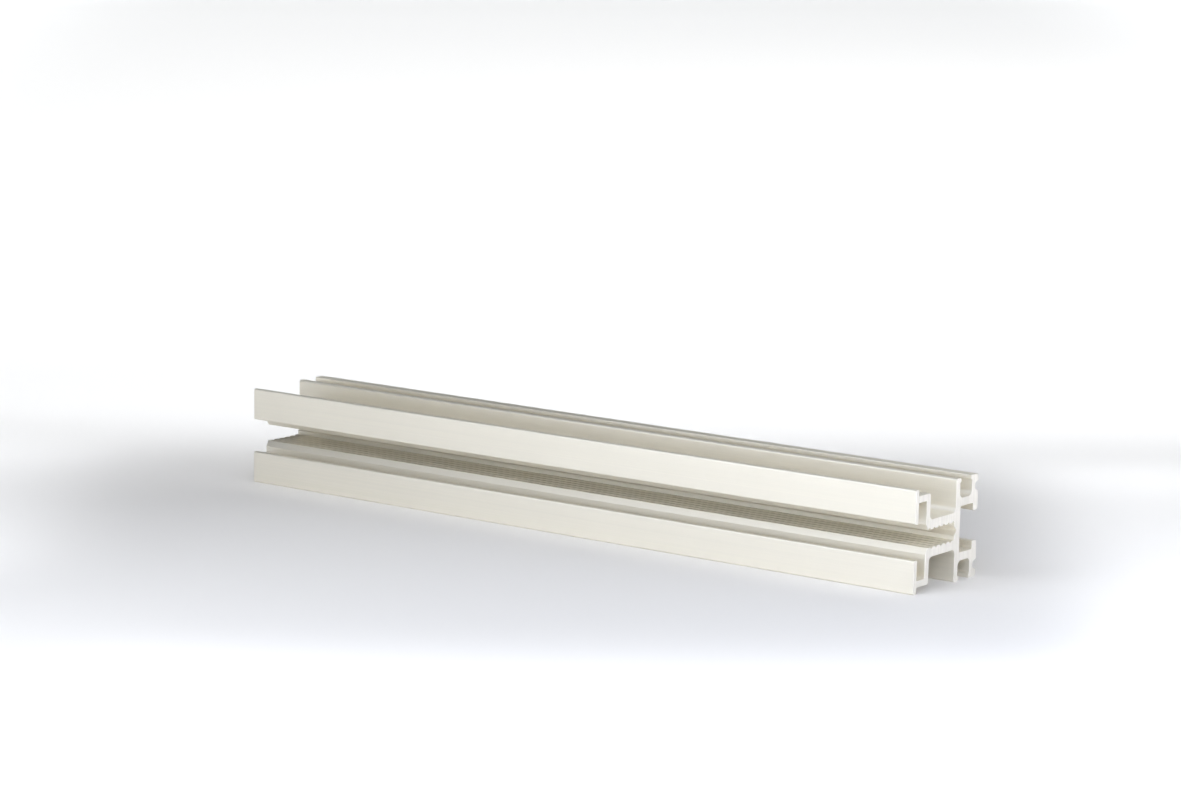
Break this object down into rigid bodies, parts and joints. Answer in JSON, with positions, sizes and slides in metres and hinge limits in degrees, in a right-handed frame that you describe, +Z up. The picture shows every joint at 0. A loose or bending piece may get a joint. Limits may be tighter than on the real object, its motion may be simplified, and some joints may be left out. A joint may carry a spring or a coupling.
{
  "type": "aluminium extrusion profile",
  "caption": "Length of aluminium extrusion profile with front plates, a ribbed screw slot, open channels above and below and a T-slot in the rear.",
  "frame": {"origin": "middle of the lower edges: halfway along the length and the depth, at floor height", "axes": "+X along the length towards the sawn end that shows in the picture, +Y from the front plates to the rear wall, +Z up"},
  "size_m": [0.25, 0.0344, 0.0306],
  "materials": {
    "aluminium": "satin mill or natural anodised, with fine die lines along the length"
  },
  "bodies": {
    "root": {"profile": "aluminium"}
  },
  "joints": []
}
